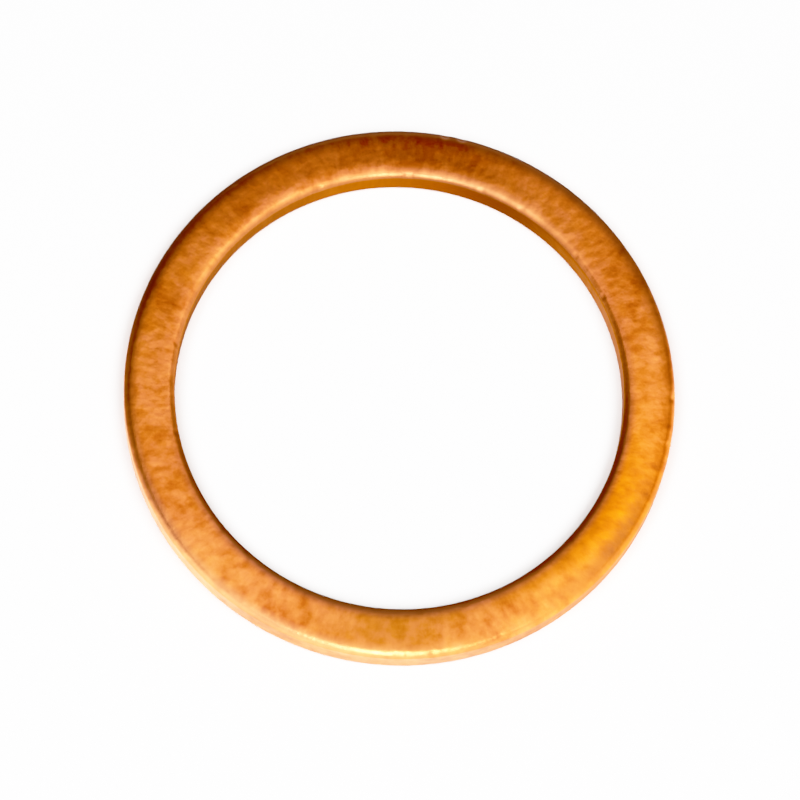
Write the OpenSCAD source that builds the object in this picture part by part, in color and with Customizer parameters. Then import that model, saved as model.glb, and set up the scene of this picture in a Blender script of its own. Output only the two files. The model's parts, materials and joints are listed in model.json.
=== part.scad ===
// Copper crush washer: one ring of soft annealed copper that seals under the head of an M16 plug.
// The ring lies on its lower sealing land, at z = 0, with the bore's axis along +Z.
// Both faces have a flat land in the middle, fall away on a shallow crown and end in rounded edges.

/* [Ring] */
// Diameter of the bore, a loose fit over an M16 thread
bore_d = 16.2; // [8:0.1:40]
// Width of the ring from its bore wall to its outer wall
ring_w = 1.85; // [1.6:0.05:2.6]
// Thickness between the two sealing lands
ring_t = 1.5; // [1:0.05:3]

/* [Section] */
// Width of the flat sealing land in the middle of each face
land_w = 0.5; // [0.2:0.05:0.7]
// Radius of the crown that lowers a face from its land towards both edges
crown_r = 2.5; // [2:0.1:6]
// Radius of the rounded edges between the faces and the walls
edge_r = 0.3; // [0.1:0.02:0.4]

/* [Hidden] */
$fa = 2;
$fs = 0.02;

copper = "#C8752D";
mid_r = bore_d / 2 + ring_w / 2;
half_w = ring_w / 2;
half_t = ring_t / 2;
land_end = land_w / 2;

// The crown's arc leaves the land level, so its centre is right below the land's end
crown_z = half_t - crown_r;

// The edge's arc touches the wall, and touches the crown's arc from inside
edge_x = half_w - edge_r;
crown_run = edge_x - land_end;
edge_z = crown_z + sqrt(pow(crown_r - edge_r, 2) - pow(crown_run, 2));

// Where the crown runs into the edge: both arcs have the same slope there
meet_x = land_end + crown_r * crown_run / (crown_r - edge_r);

// A quarter of the section, from its middle to the wall and from mid-height to the face
module quarter_section() {
    square([land_end, half_t]);
    intersection() {
        translate([land_end, crown_z]) circle(crown_r);
        translate([land_end, 0]) square([meet_x - land_end, half_t]);
    }
    intersection() {
        translate([edge_x, edge_z]) circle(edge_r);
        translate([meet_x, edge_z]) square([half_w - meet_x, edge_r]);
    }
    translate([meet_x, 0]) square([half_w - meet_x, edge_z]);
}

// The whole section, alike towards the bore and outwards, and on both faces
module ring_section() {
    for (across = [0, 1], over = [0, 1])
        mirror([across, 0]) mirror([0, over]) quarter_section();
}

module washer() {
    color(copper)
        translate([0, 0, half_t])
            rotate_extrude()
                translate([mid_r, 0]) ring_section();
}

washer();
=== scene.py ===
"""Copper crush washer: the finish of the ring, and the small studio that it lies in."""
import json
import math

import bpy
from mathutils import Matrix, Vector


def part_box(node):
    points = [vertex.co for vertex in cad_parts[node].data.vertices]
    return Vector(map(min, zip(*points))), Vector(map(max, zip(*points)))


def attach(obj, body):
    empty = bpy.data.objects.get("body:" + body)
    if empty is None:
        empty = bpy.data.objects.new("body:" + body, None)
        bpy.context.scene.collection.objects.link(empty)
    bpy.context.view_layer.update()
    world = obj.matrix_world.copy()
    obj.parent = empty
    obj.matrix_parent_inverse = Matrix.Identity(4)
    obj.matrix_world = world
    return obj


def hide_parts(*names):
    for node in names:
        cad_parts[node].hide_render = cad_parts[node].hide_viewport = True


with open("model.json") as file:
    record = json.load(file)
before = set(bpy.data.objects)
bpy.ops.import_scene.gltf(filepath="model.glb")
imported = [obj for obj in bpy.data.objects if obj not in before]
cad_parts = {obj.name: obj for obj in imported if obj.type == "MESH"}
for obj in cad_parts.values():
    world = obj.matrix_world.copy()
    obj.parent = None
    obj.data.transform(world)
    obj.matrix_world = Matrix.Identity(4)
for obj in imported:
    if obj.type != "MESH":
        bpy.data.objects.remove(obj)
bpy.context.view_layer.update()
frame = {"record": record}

MM = 0.001

# The ring's sizes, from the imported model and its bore
ring_low, ring_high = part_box("washer")
bore = next(mount for mount in frame["record"]["mounts"] if mount["name"] == "bore")
OUTER_R = (ring_high.x - ring_low.x) / 2
BORE_R = bore["dims"]["r_mm"] * MM
RING_T = ring_high.z - ring_low.z
MID_R = (OUTER_R + BORE_R) / 2

# The section's own sizes, the same as in the solid
LAND_W = 0.5 * MM
CROWN_R = 2.5 * MM
EDGE_R = 0.3 * MM

# How finely the ring is meshed: steps round it, and points on the pieces of a quarter section
AROUND = 960
EDGE_POINTS = 10
CROWN_POINTS = 7
LAND_POINTS = 4
WALL_POINTS = 6

# Points of the section that are closer than this are one
SAME_POINT = 0.002 * MM

# What tumbling leaves on the ring: shallow dimples all over, and nicks along its edges
DIMPLE_SIZE = 0.6 * MM
DIMPLE_DEPTH = 0.010 * MM
NICKS = 70
NICK_SIZE = 0.14 * MM
NICK_DEPTH = 0.022 * MM

# Two larger dents close together in the outer upper edge, at angles about the bore
DENT_ANGLES = (85.2, 88.8)
DENT_SIZE = 0.24 * MM
DENT_DEPTH = 0.11 * MM

# Where nicks and dents lie on a rounded edge: in from its wall, and down or up from its face
NICK_IN = 0.3 * EDGE_R
NICK_DOWN = 0.4 * EDGE_R
DENT_DOWN = 0.3 * EDGE_R

# Seeds of the dimples, and of each nick's angle, side and height
DIMPLE_SEED = 4.0
ANGLE_SEED = 11
SIDE_SEED = 12
HEIGHT_SEED = 13

# The copper's patterns, with sizes in millimetres; streaks lean by an angle in radians
MOTTLE = 0.6
CLOUD = 2.6
STREAK_WIDTH = 0.3
STREAK_LENGTH = 0.7
STREAK_LEAN = 0.10
SCORE_WIDTH = 0.12
SCORE_LENGTH = 1.25
GRAIN = 0.28
GRAIN_DEPTH = 0.012 * MM
STREAK_DEPTH = 0.006 * MM

# The mottle's useful range, the share of the pinker tone over it, and the roughness over it
MOTTLE_LOW = 0.3
MOTTLE_HIGH = 0.7
PINK_LOW = -0.1
PINK_HIGH = 0.9
ROUGH_TARNISH = 0.42
ROUGH_CLEAN = 0.34

# How each pattern darkens the copper: the pattern's range, and the share of tarnish where it is lowest
TARNISH_LAYERS = (
    ("mottle", 0.30, 0.62, 0.50),
    ("streak", 0.32, 0.68, 0.36),
    ("cloud", 0.35, 0.65, 0.32),
)

# Places on the upper face: angle about the bore, reach in millimetres, and share
PINKER_SIDE = (95, 14.5, 0.5)
DEEPER_SIDE = (338, 7.5, 1.0)
# Painted shade on the far side, drawn as thicker tarnish, and painted light on the right side, drawn as
# thinner tarnish
FAR_SIDE_PAINTED_SHADE = (92, 5.2, 0.3)
RIGHT_SIDE_PAINTED_LIGHT = (332, 5.5, -0.3)
# Painted shade, drawn as a duller brown: across the face in one place, and towards the bore in two
SHADE_ACROSS_FACE = (277, 4.6, 0.6)
SHADE_TOWARDS_BORE = ((326, 7.5, 0.55), (68, 6.5, 0.25))
BROWN_OUTSIDE = (333, 4.0, 0.6)
# Painted shade on the bore's wall
SHADE_IN_BORE = (72, 9.0, 1.0)

# Bands of the section, in millimetres: how far in from a wall they lie, and their reach
# The bands on the edges lie as far down from the face as they lie in from the wall
BORE_BAND_IN = 0.5
OUTER_BAND_IN = 0.35
FACE_BAND = 0.6
EDGE_IN = 0.1
EDGE_BAND = 0.45

# The bright place at each larger dent reaches this far, in millimetres
FRESH_REACH = 0.32

# The bore's wall has its own dull punched finish up to the first of these distances from it, and none past
# the second; where it reaches up the inner edge it is also painted shade that dims that edge
WALL_FULL = 0.02
WALL_END = 0.20

# The upper edges: radius in millimetres, the place of each one's painted highlight, and the place of its
# painted shade
EDGE_LIGHT_AND_SHADE = (
    (OUTER_R / MM - EDGE_IN, (238, 11.0, 0.4), (112, 17.0, 2.0)),
    (BORE_R / MM + EDGE_IN, (78, 7.0, 0.3), (294, 17.0, 2.0)),
)

# The copper's colours: clean, tarnished, painted shade and a greyer brown, on its edges with painted
# highlight and shade, and on the bore's wall with painted shade
ORANGE = "#F78B3E"
PINKER_ORANGE = "#F7894E"
DEEPER_ORANGE = "#F77C24"
# The tarnish colour also carries painted shade on the far side and painted light on the right side
TARNISH_AND_SHADE = "#A85329"
# Painted shade, drawn as a duller brown
PAINTED_SHADE_BROWN = "#684015"
GREYER_BROWN = "#6A4A30"
# Painted highlight and painted shade on the upper edges
PAINTED_HIGHLIGHT = "#F7A878"
PAINTED_EDGE_SHADE = "#8C5540"
FRESH = "#F7A67C"
PUNCHED_DARK = "#7F4B2C"
PUNCHED_LIGHT = "#A06039"
# Painted shade in the bore
PAINTED_BORE_SHADE = "#5E351F"
FACE_GLANCE = "#FFEDDA"
BORE_GLANCE = "#CAB0A4"

# The room that the copper mirrors is grey, with zones over it, the last on top: azimuth and height of a
# zone's middle, cosines of the angles from there where it ends and where it is full, and its tone
ROOM_GREY = "#585858"
ROOM_STRENGTH = 1.9
ROOM_ZONES = (
    (147, 57, 0.66, 0.91, "#262626"),
    (125, -30, 0.10, 0.60, "#5D5D5D"),
    (90, 18, 0.80, 0.95, "#7C7C7C"),
    (290, -20, -0.25, 0.20, "#D8D8D8"),
    (280, 48, 0.75, 0.93, "#797979"),
    (270, -90, 0.80, 0.95, "#A0A0A0"),
    (281, -22, 0.82, 0.95, "#FAFAFA"),
    (282, -66, 0.945, 0.985, "#FAFAFA"),
    (176, -66, 0.93, 0.985, "#FAFAFA"),
    (90, -75, 0.93, 0.985, "#202020"),
)

# The key light's direction and distance in metres
KEY_AZIMUTH = 278
KEY_ELEVATION = 34.2
KEY_AWAY = 0.045

# The fills' distance and size in metres; then each one's name, azimuth, elevation and strength
FILL_AWAY = 0.6
FILL_SIZE = 0.22
FILLS = (
    ("left fill", 222, 70, 7.0),
    ("front fill", 280, 66, 4.8),
    ("right fill", 328, 70, 7.0),
)

# The film: the value that prints black, the slope above it, where the shoulder starts, its bend, and the
# values that the picture's curve goes through
FILM_BLACK = 0.0084
FILM_SLOPE = 2.72
FILM_KNEE = 0.147
FILM_BEND = 3
FILM_VALUES = (FILM_BLACK, 0.03, 0.0624, 0.1, 0.16, 0.24, 0.34, 0.46, 0.6, 0.78)

# The photograph's view in degrees, the camera's distance in ring radii, the picture's width and the ring's
# radius and centre in it in pixels, and the sensor's width
VIEW_ELEVATION = 72.85
VIEW_ROLL = 8.8
VIEW_AWAY = 20
IMAGE_PX = 800
RADIUS_PX = 275.5
CENTRE_PX = (399.3, 395.2)
SENSOR_MM = 36


def add(tree, kind, inputs=None, **settings):
    """Adds a node with its settings, and gives each input named here a value or a link."""
    made = tree.nodes.new(kind)
    for name, value in settings.items():
        setattr(made, name, value)
    for key, value in (inputs or {}).items():
        if isinstance(value, bpy.types.NodeSocket):
            tree.links.new(value, made.inputs[key])
        else:
            made.inputs[key].default_value = value
    return made


def linear(colour):
    """An sRGB hex colour as linear red, green, blue and alpha."""
    parts = [int(colour[place:place + 2], 16) / 255 for place in (1, 3, 5)]
    return [c / 12.92 if c <= 0.04045 else ((c + 0.055) / 1.055) ** 2.4 for c in parts] + [1.0]


def section_sizes():
    """The section's arcs: the edge touches the wall, and touches the crown from inside."""
    half_w = (OUTER_R - BORE_R) / 2
    half_t = RING_T / 2
    edge_x = half_w - EDGE_R
    crown_run = edge_x - LAND_W / 2
    crown_z = half_t - CROWN_R
    edge_z = crown_z + math.sqrt((CROWN_R - EDGE_R) ** 2 - crown_run ** 2)
    crown_angle = math.asin(crown_run / (CROWN_R - EDGE_R))
    return {
        "Ring Radius": MID_R,
        "Half Width": half_w,
        "Half Height": half_t,
        "Crown Radius": CROWN_R,
        "Crown Sweep": crown_angle,
        "Land End": LAND_W / 2,
        "Crown Z": crown_z,
        "Edge Radius": EDGE_R,
        "Edge Sweep": math.pi / 2 - crown_angle,
        "Edge X": edge_x,
        "Edge Z": edge_z,
        "Dimple Size": DIMPLE_SIZE,
        "Dimple Depth": DIMPLE_DEPTH,
        "Nick Size": NICK_SIZE,
        "Nick Depth": NICK_DEPTH,
        "Outer Nicks": OUTER_R - NICK_IN,
        "Bore Nicks": BORE_R + NICK_IN,
        "Upper Nicks": RING_T - NICK_DOWN,
        "Lower Nicks": NICK_DOWN,
        "Dent Reach": OUTER_R,
        "Dent Level": RING_T - DENT_DOWN,
        "Dent Size": DENT_SIZE,
        "Dent Depth": DENT_DEPTH,
        "Seed": DIMPLE_SEED,
    }


def quarter_points(tree, size):
    """Points on a quarter of the section: half the wall, the edge's arc, the crown's arc, half the land."""
    quarter = add(tree, "GeometryNodeJoinGeometry")
    arcs = (
        (EDGE_POINTS, "Edge Radius", None, "Edge Sweep", "Edge X", "Edge Z"),
        (CROWN_POINTS, "Crown Radius", "Edge Sweep", "Crown Sweep", "Land End", "Crown Z"),
    )
    for count, radius, start, sweep, x, z in arcs:
        arc = add(tree, "GeometryNodeCurveArc", {
            "Resolution": count,
            "Radius": size[radius],
            "Start Angle": size[start] if start else 0.0,
            "Sweep Angle": size[sweep],
        })
        centre = add(tree, "ShaderNodeCombineXYZ", {"X": size[x], "Y": size[z]})
        placed = add(tree, "GeometryNodeTransform", {
            "Geometry": arc.outputs["Curve"],
            "Translation": centre.outputs[0],
        })
        points = add(tree, "GeometryNodeCurveToPoints", {"Curve": placed.outputs[0]}, mode="EVALUATED")
        tree.links.new(points.outputs["Points"], quarter.inputs[0])
    lines = (
        (WALL_POINTS, ("Half Width", None), ("Half Width", "Edge Z")),
        (LAND_POINTS, (None, "Half Height"), ("Land End", "Half Height")),
    )
    for count, first, last in lines:
        ends = [
            add(tree, "ShaderNodeCombineXYZ", {
                axis: size[name] if name else 0.0 for axis, name in zip("XY", end)
            }).outputs[0]
            for end in (first, last)
        ]
        line = add(tree, "GeometryNodeCurvePrimitiveLine", {"Start": ends[0], "End": ends[1]})
        points = add(tree, "GeometryNodeCurveToPoints", {
            "Curve": line.outputs[0],
            "Count": count,
        }, mode="COUNT")
        tree.links.new(points.outputs["Points"], quarter.inputs[0])
    return quarter


def ring_tree(sizes):
    """A tree that lays the section's points, joins them to one outline and sweeps it round the bore."""
    tree = bpy.data.node_groups.new("crowned copper ring", "GeometryNodeTree")
    for name in sizes:
        tree.interface.new_socket(name, in_out="INPUT", socket_type="NodeSocketFloat")
    tree.interface.new_socket("Material", in_out="INPUT", socket_type="NodeSocketMaterial")
    tree.interface.new_socket("Geometry", in_out="OUTPUT", socket_type="NodeSocketGeometry")
    size = add(tree, "NodeGroupInput").outputs

    # The other three quarters are mirror images, first across the section and then over it
    outline = quarter_points(tree, size)
    for mirror in ((-1, 1, 1), (1, -1, 1)):
        image = add(tree, "GeometryNodeTransform", {"Geometry": outline.outputs[0], "Scale": mirror})
        both = add(tree, "GeometryNodeJoinGeometry")
        tree.links.new(outline.outputs[0], both.inputs[0])
        tree.links.new(image.outputs[0], both.inputs[0])
        outline = both

    # The points in order of their angle about the section's middle make one closed outline
    single = add(tree, "GeometryNodeMergeByDistance", {
        "Geometry": outline.outputs[0],
        "Distance": SAME_POINT,
    })
    position = add(tree, "GeometryNodeInputPosition").outputs[0]
    across = add(tree, "ShaderNodeSeparateXYZ", {"Vector": position})
    turn = add(tree, "ShaderNodeMath", {
        0: across.outputs["Y"],
        1: across.outputs["X"],
    }, operation="ARCTAN2")
    loop = add(tree, "GeometryNodePointsToCurves", {
        "Points": single.outputs[0],
        "Weight": turn.outputs[0],
    })
    closed = add(tree, "GeometryNodeSetSplineCyclic", {"Geometry": loop.outputs[0], "Cyclic": True})

    # The outline goes once round the bore, and the ring is lifted on to its lower land
    path = add(tree, "GeometryNodeCurvePrimitiveCircle", {
        "Resolution": AROUND,
        "Radius": size["Ring Radius"],
    })
    swept = add(tree, "GeometryNodeCurveToMesh", {
        "Curve": path.outputs["Curve"],
        "Profile Curve": closed.outputs[0],
    })
    lift = add(tree, "ShaderNodeCombineXYZ", {"Z": size["Half Height"]})
    lifted = add(tree, "GeometryNodeTransform", {
        "Geometry": swept.outputs[0],
        "Translation": lift.outputs[0],
    })

    # Dimples all over, of the depth that a noise gives
    dimple_scale = add(tree, "ShaderNodeMath", {0: 1.0, 1: size["Dimple Size"]}, operation="DIVIDE")
    dimple = add(tree, "ShaderNodeTexNoise", {
        "Vector": position,
        "W": size["Seed"],
        "Scale": dimple_scale.outputs[0],
        "Detail": 1.0,
    }, noise_dimensions="4D").outputs[0]
    dimple_depth = add(tree, "ShaderNodeMath", {
        0: dimple,
        1: size["Dimple Depth"],
    }, operation="MULTIPLY")

    # Nicks lie at random along the four edges: each on the bore's or the outer side, up or down
    # Inputs 2 and 3 are a random number's limits, output 1 is the number, and output 3 is a yes or no
    angle = add(tree, "FunctionNodeRandomValue", {
        2: 0.0,
        3: 2 * math.pi,
        "Seed": ANGLE_SEED,
    }, data_type="FLOAT")
    outside, above = [
        add(tree, "FunctionNodeRandomValue", {"Probability": 0.5, "Seed": seed}, data_type="BOOLEAN")
        for seed in (SIDE_SEED, HEIGHT_SEED)
    ]
    reach = add(tree, "GeometryNodeSwitch", {
        "Switch": outside.outputs[3],
        "False": size["Bore Nicks"],
        "True": size["Outer Nicks"],
    }, input_type="FLOAT")
    level = add(tree, "GeometryNodeSwitch", {
        "Switch": above.outputs[3],
        "False": size["Lower Nicks"],
        "True": size["Upper Nicks"],
    }, input_type="FLOAT")
    on_edge = add(tree, "ShaderNodeCombineXYZ", {"X": reach.outputs[0], "Z": level.outputs[0]})
    turned = add(tree, "ShaderNodeVectorRotate", {
        "Vector": on_edge.outputs[0],
        "Angle": angle.outputs[1],
    }, rotation_type="Z_AXIS")
    nicks = add(tree, "GeometryNodePoints", {"Count": NICKS, "Position": turned.outputs[0]})
    near = add(tree, "GeometryNodeProximity", {"Geometry": nicks.outputs[0]}, target_element="POINTS")
    ragged = add(tree, "ShaderNodeMath", {
        0: dimple,
        1: size["Nick Size"],
        2: size["Nick Size"],
    }, operation="MULTIPLY_ADD")
    nick_depth = add(tree, "ShaderNodeMapRange", {
        "Value": near.outputs["Distance"],
        "From Min": 0.0,
        "From Max": ragged.outputs[0],
        "To Min": size["Nick Depth"],
        "To Max": 0.0,
    }, interpolation_type="SMOOTHSTEP")
    depth = add(tree, "ShaderNodeMath", {
        0: dimple_depth.outputs[0],
        1: nick_depth.outputs[0],
    }, operation="ADD")

    # The larger dents
    on_rim = add(tree, "ShaderNodeCombineXYZ", {"X": size["Dent Reach"], "Z": size["Dent Level"]})
    for dent_angle in DENT_ANGLES:
        dent_place = add(tree, "ShaderNodeVectorRotate", {
            "Vector": on_rim.outputs[0],
            "Angle": math.radians(dent_angle),
        }, rotation_type="Z_AXIS")
        dent_away = add(tree, "ShaderNodeVectorMath", {
            0: position,
            1: dent_place.outputs[0],
        }, operation="DISTANCE")
        dent_depth = add(tree, "ShaderNodeMapRange", {
            "Value": dent_away.outputs["Value"],
            "From Min": 0.0,
            "From Max": size["Dent Size"],
            "To Min": size["Dent Depth"],
            "To Max": 0.0,
        }, interpolation_type="SMOOTHSTEP")
        depth = add(tree, "ShaderNodeMath", {
            0: depth.outputs[0],
            1: dent_depth.outputs[0],
        }, operation="ADD")

    # All these marks go inwards, so the ring keeps its size
    inwards = add(tree, "ShaderNodeMath", {0: depth.outputs[0], 1: -1.0}, operation="MULTIPLY")
    normal = add(tree, "GeometryNodeInputNormal").outputs[0]
    offset = add(tree, "ShaderNodeVectorMath", {0: normal, "Scale": inwards.outputs[0]}, operation="SCALE")
    marked = add(tree, "GeometryNodeSetPosition", {
        "Geometry": lifted.outputs[0],
        "Offset": offset.outputs[0],
    })

    smooth = add(tree, "GeometryNodeSetShadeSmooth", {"Geometry": marked.outputs[0]})
    plain = add(tree, "GeometryNodeRealizeInstances", {"Geometry": smooth.outputs[0]})
    coloured = add(tree, "GeometryNodeSetMaterial", {
        "Geometry": plain.outputs[0],
        "Material": size["Material"],
    })
    add(tree, "NodeGroupOutput", {"Geometry": coloured.outputs[0]})
    return tree


def make_ring(material):
    """The ring as one plain mesh, made by the tree."""
    sizes = section_sizes()
    tree = ring_tree(sizes)
    values = dict(sizes, Material=material)
    blank = bpy.data.objects.new("ring maker", bpy.data.meshes.new("ring maker"))
    bpy.context.scene.collection.objects.link(blank)
    maker = blank.modifiers.new("ring", "NODES")
    maker.node_group = tree
    for item in tree.interface.items_tree:
        if item.in_out == "INPUT":
            maker[item.identifier] = values[item.name]
    graph = bpy.context.evaluated_depsgraph_get()
    mesh = bpy.data.meshes.new_from_object(blank.evaluated_get(graph))
    bpy.data.objects.remove(blank)
    ring = bpy.data.objects.new("copper_ring", mesh)
    bpy.context.scene.collection.objects.link(ring)
    return ring


def on_face(angle, radius=MID_R):
    """A place on the upper face, in millimetres, at an angle about the bore."""
    turn = math.radians(angle)
    return (math.cos(turn) * radius / MM, math.sin(turn) * radius / MM, RING_T / MM)


def patch(tree, place, middle, reach):
    """A soft round patch: 1 in its middle, and 0 at its reach from there, in millimetres."""
    away = add(tree, "ShaderNodeVectorMath", {0: place, 1: middle}, operation="DISTANCE").outputs["Value"]
    return add(tree, "ShaderNodeMapRange", {
        "Value": away,
        "From Min": 0.0,
        "From Max": reach,
        "To Min": 1.0,
        "To Max": 0.0,
    }, interpolation_type="SMOOTHSTEP").outputs[0]


def spot(tree, at, where, start=0.0, radius=MID_R):
    """A place on the upper face as a soft patch times its share, added to a start value."""
    angle, reach, share = where
    return add(tree, "ShaderNodeMath", {
        0: patch(tree, at["mm"], on_face(angle, radius), reach),
        1: share,
        2: start,
    }, operation="MULTIPLY_ADD").outputs[0]


def copper_places(tree):
    """A point in millimetres: in space, without its height, its radius and height, and in the section."""
    place = add(tree, "ShaderNodeTexCoord").outputs["Object"]
    in_mm = add(tree, "ShaderNodeVectorMath", {0: place, "Scale": 1 / MM}, operation="SCALE").outputs[0]
    flat = add(tree, "ShaderNodeVectorMath", {0: in_mm, 1: (1, 1, 0)}, operation="MULTIPLY").outputs[0]
    radius = add(tree, "ShaderNodeVectorMath", {0: flat}, operation="LENGTH").outputs["Value"]
    height = add(tree, "ShaderNodeSeparateXYZ", {"Vector": in_mm}).outputs["Z"]
    section = add(tree, "ShaderNodeCombineXYZ", {"X": radius, "Y": height}).outputs[0]
    return {"mm": in_mm, "flat": flat, "radius": radius, "height": height, "section": section}


def copper_patterns(tree, at):
    """Noises for mottles and clouds of tarnish, tumbling streaks, fine grain and the punch's score marks."""
    mottle = add(tree, "ShaderNodeTexNoise", {
        "Vector": at["mm"],
        "Scale": 1 / MOTTLE,
        "Detail": 3.0,
        "Roughness": 0.6,
    }).outputs[0]
    cloud = add(tree, "ShaderNodeTexNoise", {
        "Vector": at["mm"],
        "Scale": 1 / CLOUD,
        "Detail": 1.0,
    }).outputs[0]
    grain = add(tree, "ShaderNodeTexNoise", {
        "Vector": at["mm"],
        "Scale": 1 / GRAIN,
        "Detail": 2.0,
    }).outputs[0]

    # Streaks run outwards over a face and down a wall, leaning a little
    lean = add(tree, "ShaderNodeMath", {0: cloud, 1: STREAK_LEAN}, operation="MULTIPLY").outputs[0]
    leaning = add(tree, "ShaderNodeVectorRotate", {
        "Vector": at["flat"],
        "Angle": lean,
    }, rotation_type="Z_AXIS").outputs[0]
    way = add(tree, "ShaderNodeVectorMath", {0: leaning}, operation="NORMALIZE").outputs[0]
    around = add(tree, "ShaderNodeVectorMath", {
        0: way,
        "Scale": MID_R / MM / STREAK_WIDTH,
    }, operation="SCALE").outputs[0]
    run = add(tree, "ShaderNodeMath", {0: at["radius"], 1: at["height"]}, operation="SUBTRACT").outputs[0]
    along = add(tree, "ShaderNodeMath", {0: run, 1: 1 / STREAK_LENGTH}, operation="MULTIPLY").outputs[0]
    deep = add(tree, "ShaderNodeCombineXYZ", {"Z": along}).outputs[0]
    streak_at = add(tree, "ShaderNodeVectorMath", {0: around, 1: deep}, operation="ADD").outputs[0]
    streak = add(tree, "ShaderNodeTexNoise", {
        "Vector": streak_at,
        "Scale": 1.0,
        "Detail": 2.0,
    }).outputs[0]

    # Score marks stand upright on the bore's wall
    score_flat = add(tree, "ShaderNodeVectorMath", {
        0: at["flat"],
        "Scale": 1 / SCORE_WIDTH,
    }, operation="SCALE").outputs[0]
    score_z = add(tree, "ShaderNodeMath", {
        0: at["height"],
        1: 1 / SCORE_LENGTH,
    }, operation="MULTIPLY").outputs[0]
    score_up = add(tree, "ShaderNodeCombineXYZ", {"Z": score_z}).outputs[0]
    score_at = add(tree, "ShaderNodeVectorMath", {0: score_flat, 1: score_up}, operation="ADD").outputs[0]
    score = add(tree, "ShaderNodeTexNoise", {
        "Vector": score_at,
        "Scale": 1.0,
        "Detail": 2.0,
    }).outputs[0]
    return {"mottle": mottle, "cloud": cloud, "grain": grain, "streak": streak, "score": score}


def copper_coats(tree, at, pattern):
    """What changes the clean copper, from the lowest coat up: the share of a coat, and its colour."""
    coats = [(spot(tree, at, DEEPER_SIDE), DEEPER_ORANGE)]

    # Mottles, streaks and clouds darken it; painted shade darkens it more on the far side, and painted light
    # leaves it nearly clean on the right side
    tarnish_and_painted_light = spot(tree, at, RIGHT_SIDE_PAINTED_LIGHT, spot(tree, at, FAR_SIDE_PAINTED_SHADE))
    for name, low, high, share in TARNISH_LAYERS:
        layer = add(tree, "ShaderNodeMapRange", {
            "Value": pattern[name],
            "From Min": low,
            "From Max": high,
            "To Min": share,
            "To Max": 0.0,
        }).outputs[0]
        tarnish_and_painted_light = add(tree, "ShaderNodeMath", {0: tarnish_and_painted_light, 1: layer}, operation="ADD").outputs[0]
    coats.append((tarnish_and_painted_light, TARNISH_AND_SHADE))

    # Painted shade in a duller brown: across the face in one place, towards the bore in two
    inner = patch(tree, at["section"], (BORE_R / MM + BORE_BAND_IN, RING_T / MM, 0), FACE_BAND)
    shade_at_bore = 0.0
    for where in SHADE_TOWARDS_BORE:
        shade_at_bore = spot(tree, at, where, shade_at_bore)
    painted_shade = add(tree, "ShaderNodeMath", {
        0: shade_at_bore,
        1: inner,
        2: spot(tree, at, SHADE_ACROSS_FACE, radius=BORE_R + BORE_BAND_IN * MM),
    }, operation="MULTIPLY_ADD").outputs[0]
    coats.append((painted_shade, PAINTED_SHADE_BROWN))

    # Towards the outside it is a little greyer, in one place
    outer = patch(tree, at["section"], (OUTER_R / MM - OUTER_BAND_IN, RING_T / MM, 0), FACE_BAND)
    outer_brown = add(tree, "ShaderNodeMath", {
        0: spot(tree, at, BROWN_OUTSIDE),
        1: outer,
    }, operation="MULTIPLY").outputs[0]
    coats.append((outer_brown, GREYER_BROWN))

    # Each upper edge has a painted highlight, a paler copper, on one side, and painted shade, a duller
    # brown, on the other
    for edge_radius, highlight_place, shade_place in EDGE_LIGHT_AND_SHADE:
        edge = patch(tree, at["section"], (edge_radius, RING_T / MM - EDGE_IN, 0), EDGE_BAND)
        for where, colour in ((highlight_place, PAINTED_HIGHLIGHT), (shade_place, PAINTED_EDGE_SHADE)):
            marked = add(tree, "ShaderNodeMath", {0: spot(tree, at, where), 1: 1.0}, operation="MINIMUM")
            share = add(tree, "ShaderNodeMath", {0: edge, 1: marked.outputs[0]}, operation="MULTIPLY")
            coats.append((share.outputs[0], colour))

    # The larger dents are fresh and bright
    for dent_angle in DENT_ANGLES:
        coats.append((patch(tree, at["mm"], on_face(dent_angle, OUTER_R), FRESH_REACH), FRESH))
    return coats


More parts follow.
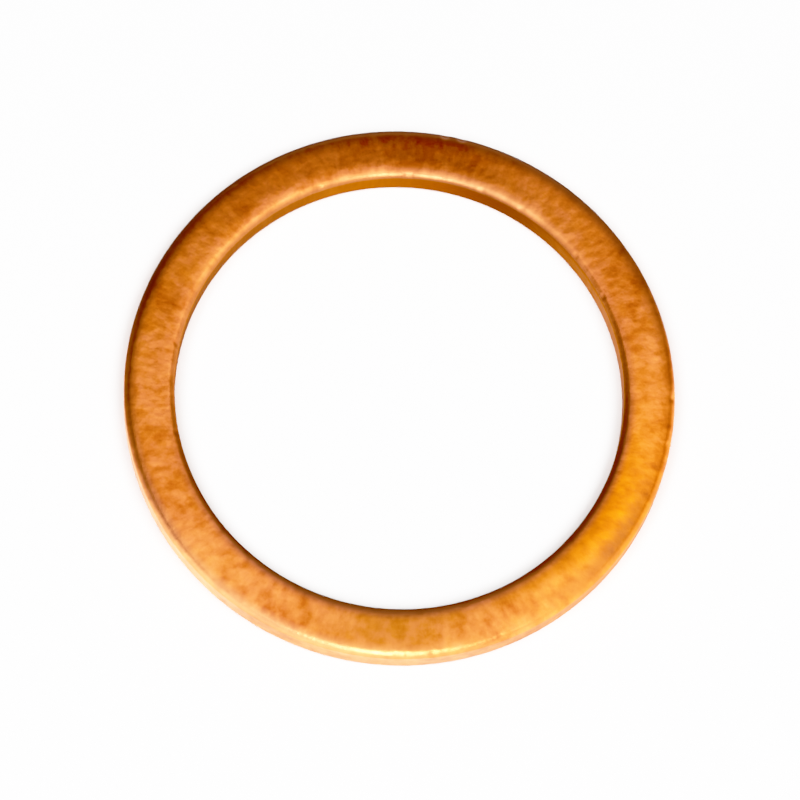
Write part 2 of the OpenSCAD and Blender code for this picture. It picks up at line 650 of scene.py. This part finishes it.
def tumbled_copper():
    """Annealed copper, punched and barrel-tumbled: satin, warm orange, clouded by a thin tarnish.

    Tumbling leaves soft mottles and short leaning streaks; the punched bore wall stays dull and scored.
    Painted light and shade lie over it in places: on the face, on the upper edges and in the bore.
    """
    material = bpy.data.materials.new("tumbled copper")
    material.use_nodes = True
    tree = material.node_tree
    shader = tree.nodes["Principled BSDF"]
    at = copper_places(tree)
    pattern = copper_patterns(tree, at)

    # The clean copper goes from orange to a pinker tone, and coats lie over it
    hue = add(tree, "ShaderNodeMapRange", {
        "Value": pattern["mottle"],
        "From Min": MOTTLE_LOW,
        "From Max": MOTTLE_HIGH,
        "To Min": PINK_LOW,
        "To Max": PINK_HIGH,
    }).outputs[0]
    face = add(tree, "ShaderNodeMix", {
        "Factor": spot(tree, at, PINKER_SIDE, hue),
        "A": linear(ORANGE),
        "B": linear(PINKER_ORANGE),
    }, data_type="RGBA").outputs["Result"]
    for share, colour in copper_coats(tree, at, pattern):
        face = add(tree, "ShaderNodeMix", {
            "Factor": share,
            "A": face,
            "B": linear(colour),
        }, data_type="RGBA").outputs["Result"]

    # The bore's wall keeps the dull, upright score marks of the punch, and a patch of painted shade
    punched = add(tree, "ShaderNodeMix", {
        "Factor": pattern["score"],
        "A": linear(PUNCHED_DARK),
        "B": linear(PUNCHED_LIGHT),
    }, data_type="RGBA").outputs["Result"]
    shaded_bore = add(tree, "ShaderNodeMix", {
        "Factor": spot(tree, at, SHADE_IN_BORE, radius=BORE_R),
        "A": punched,
        "B": linear(PAINTED_BORE_SHADE),
    }, data_type="RGBA").outputs["Result"]
    wall = add(tree, "ShaderNodeMapRange", {
        "Value": at["radius"],
        "From Min": BORE_R / MM + WALL_FULL,
        "From Max": BORE_R / MM + WALL_END,
        "To Min": 1.0,
        "To Max": 0.0,
    }).outputs[0]
    finishes = (
        ("Base Color", face, shaded_bore),
        ("Specular Tint", linear(FACE_GLANCE), linear(BORE_GLANCE)),
    )
    for socket, on_ring, on_wall in finishes:
        finish = add(tree, "ShaderNodeMix", {
            "Factor": wall,
            "A": on_ring,
            "B": on_wall,
        }, data_type="RGBA").outputs["Result"]
        tree.links.new(finish, shader.inputs[socket])

    # Satin from the tumbling stones, rougher where the tarnish is thicker
    satin = add(tree, "ShaderNodeMapRange", {
        "Value": pattern["mottle"],
        "From Min": MOTTLE_LOW,
        "From Max": MOTTLE_HIGH,
        "To Min": ROUGH_TARNISH,
        "To Max": ROUGH_CLEAN,
    }).outputs[0]
    tree.links.new(satin, shader.inputs["Roughness"])
    shader.inputs["Metallic"].default_value = 1.0

    # Fine dents and scratches, drawn coarser than the real ones so that they show
    dented = add(tree, "ShaderNodeBump", {
        "Height": pattern["grain"],
        "Distance": GRAIN_DEPTH,
        "Strength": 1.0,
    }).outputs[0]
    scratched = add(tree, "ShaderNodeBump", {
        "Height": pattern["streak"],
        "Distance": STREAK_DEPTH,
        "Strength": 1.0,
        "Normal": dented,
    }).outputs[0]
    tree.links.new(scratched, shader.inputs["Normal"])
    return material


def white_table():
    """A plain matt white board, larger than any view of the ring. The copper mirrors the room instead."""
    half = 2.0
    mesh = bpy.data.meshes.new("table")
    corners = [(-half, -half, 0), (half, -half, 0), (half, half, 0), (-half, half, 0)]
    mesh.from_pydata(corners, [], [(0, 1, 2, 3)])
    table = bpy.data.objects.new("table", mesh)
    bpy.context.scene.collection.objects.link(table)
    material = bpy.data.materials.new("matt white board")
    material.use_nodes = True
    shader = material.node_tree.nodes["Principled BSDF"]
    shader.inputs["Base Color"].default_value = linear("#EDEDED")
    shader.inputs["Roughness"].default_value = 0.9
    mesh.materials.append(material)
    table.visible_glossy = False


def toward(azimuth, elevation):
    """The direction at an azimuth, from +X towards +Y as seen from above, and a height over the table."""
    a = math.radians(azimuth)
    e = math.radians(elevation)
    return Vector((math.cos(a) * math.cos(e), math.sin(a) * math.cos(e), math.sin(e)))


def room():
    """The grey room: dark high on the far left, white in front, and the table's tones below."""
    world = bpy.data.worlds.new("studio")
    bpy.context.scene.world = world
    world.use_nodes = True
    tree = world.node_tree
    way = add(tree, "ShaderNodeTexCoord").outputs["Generated"]
    shade = linear(ROOM_GREY)
    for azimuth, elevation, end, full, tone in ROOM_ZONES:
        facing = add(tree, "ShaderNodeVectorMath", {
            0: way,
            1: toward(azimuth, elevation),
        }, operation="DOT_PRODUCT")
        share = add(tree, "ShaderNodeMapRange", {
            "Value": facing.outputs["Value"],
            "From Min": end,
            "From Max": full,
        }, interpolation_type="SMOOTHSTEP")
        shade = add(tree, "ShaderNodeMix", {
            "Factor": share.outputs[0],
            "A": shade,
            "B": linear(tone),
        }, data_type="RGBA").outputs["Result"]
    light = tree.nodes["Background"]
    light.inputs["Strength"].default_value = ROOM_STRENGTH
    tree.links.new(shade, light.inputs["Color"])

    # The room doesn't light the table: the fills do
    world.cycles_visibility.diffuse = False


def softbox(name, place, facing, width, height, strength):
    """A soft light at a place, in metres. Its strength is its brightness, so its size can change alone."""
    data = bpy.data.lights.new(name, "AREA")
    data.shape = "RECTANGLE"
    data.size = width
    data.size_y = height
    watts_per_area = 4 * strength
    data.energy = watts_per_area * width * height
    light = bpy.data.objects.new(name, data)
    light.location = place
    light.rotation_mode = "QUATERNION"
    light.rotation_quaternion = (-facing).to_track_quat("Z", "Y")
    light.visible_camera = False
    bpy.context.scene.collection.objects.link(light)
    return light


def lights():
    """Three close lights that only the copper mirrors, and three fills that only light the table."""
    down = Vector((0, 0, -1))
    key_way = toward(KEY_AZIMUTH, KEY_ELEVATION)

    # Each has a name, a place, the way it faces, a width, a height and a strength, with lengths in metres
    mirrored = (
        ("key", key_way * KEY_AWAY, -key_way, 0.0115, 0.031, 8.5),
        ("overhead", Vector((0.0039, -0.0196, 0.0372)), down, 0.0478, 0.062, 0.69),
        ("side strip", Vector((0.0095, 0.009, 0.036)), down, 0.008, 0.025, 0.65),
    )
    for name, place, facing, width, height, strength in mirrored:
        close_light = softbox(name, place, facing, width, height, strength)
        close_light.visible_diffuse = False
    for name, azimuth, elevation, strength in FILLS:
        fill_way = toward(azimuth, elevation)
        fill = softbox(name, fill_way * FILL_AWAY, -fill_way, FILL_SIZE, FILL_SIZE, strength)
        fill.visible_glossy = False


def film(value):
    """What a scene value prints as: black below a small value, then straight, then a shoulder to white."""
    straight = FILM_SLOPE * (value - FILM_BLACK)
    if straight < FILM_KNEE:
        return max(straight, 0.0)
    left = (1 - value) / (1 - FILM_BLACK - FILM_KNEE / FILM_SLOPE)
    return 1 - (1 - FILM_KNEE) * left ** FILM_BEND


def tone_curve():
    """Gives the picture the film's tone, by a curve through a few of its values."""
    view = bpy.context.scene.view_settings
    view.view_transform = "Standard"
    view.use_curve_mapping = True
    mapping = view.curve_mapping
    mapping.extend = "HORIZONTAL"
    combined = mapping.curves[3]
    for value in FILM_VALUES:
        combined.points.new(value, film(value))
    for point in combined.points:
        point.handle_type = "AUTO_CLAMPED"
    mapping.update()


def camera():
    """The photograph's view: from above, a little off vertical, with the picture turned."""
    elevation = math.radians(VIEW_ELEVATION)
    distance = VIEW_AWAY * OUTER_R
    data = bpy.data.cameras.new("camera")
    data.sensor_width = SENSOR_MM
    data.lens = data.sensor_width * RADIUS_PX / IMAGE_PX * distance / OUTER_R
    data.shift_x = (IMAGE_PX / 2 - CENTRE_PX[0]) / IMAGE_PX
    data.shift_y = (CENTRE_PX[1] - IMAGE_PX / 2) / IMAGE_PX
    data.clip_start = 0.01
    data.clip_end = 10
    view = bpy.data.objects.new("camera", data)
    back = Vector((0, -math.cos(elevation), math.sin(elevation)))
    roll = Matrix.Rotation(math.radians(VIEW_ROLL), 3, "Z")
    turn = back.to_track_quat("Z", "Y").to_matrix() @ roll
    ring_middle = Vector((0, 0, RING_T / 2))
    view.matrix_world = Matrix.Translation(ring_middle + back * distance) @ turn.to_4x4()
    bpy.context.scene.collection.objects.link(view)
    bpy.context.scene.camera = view


ring = make_ring(tumbled_copper())
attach(ring, "root")
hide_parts("washer")
white_table()
room()
lights()
camera()
tone_curve()
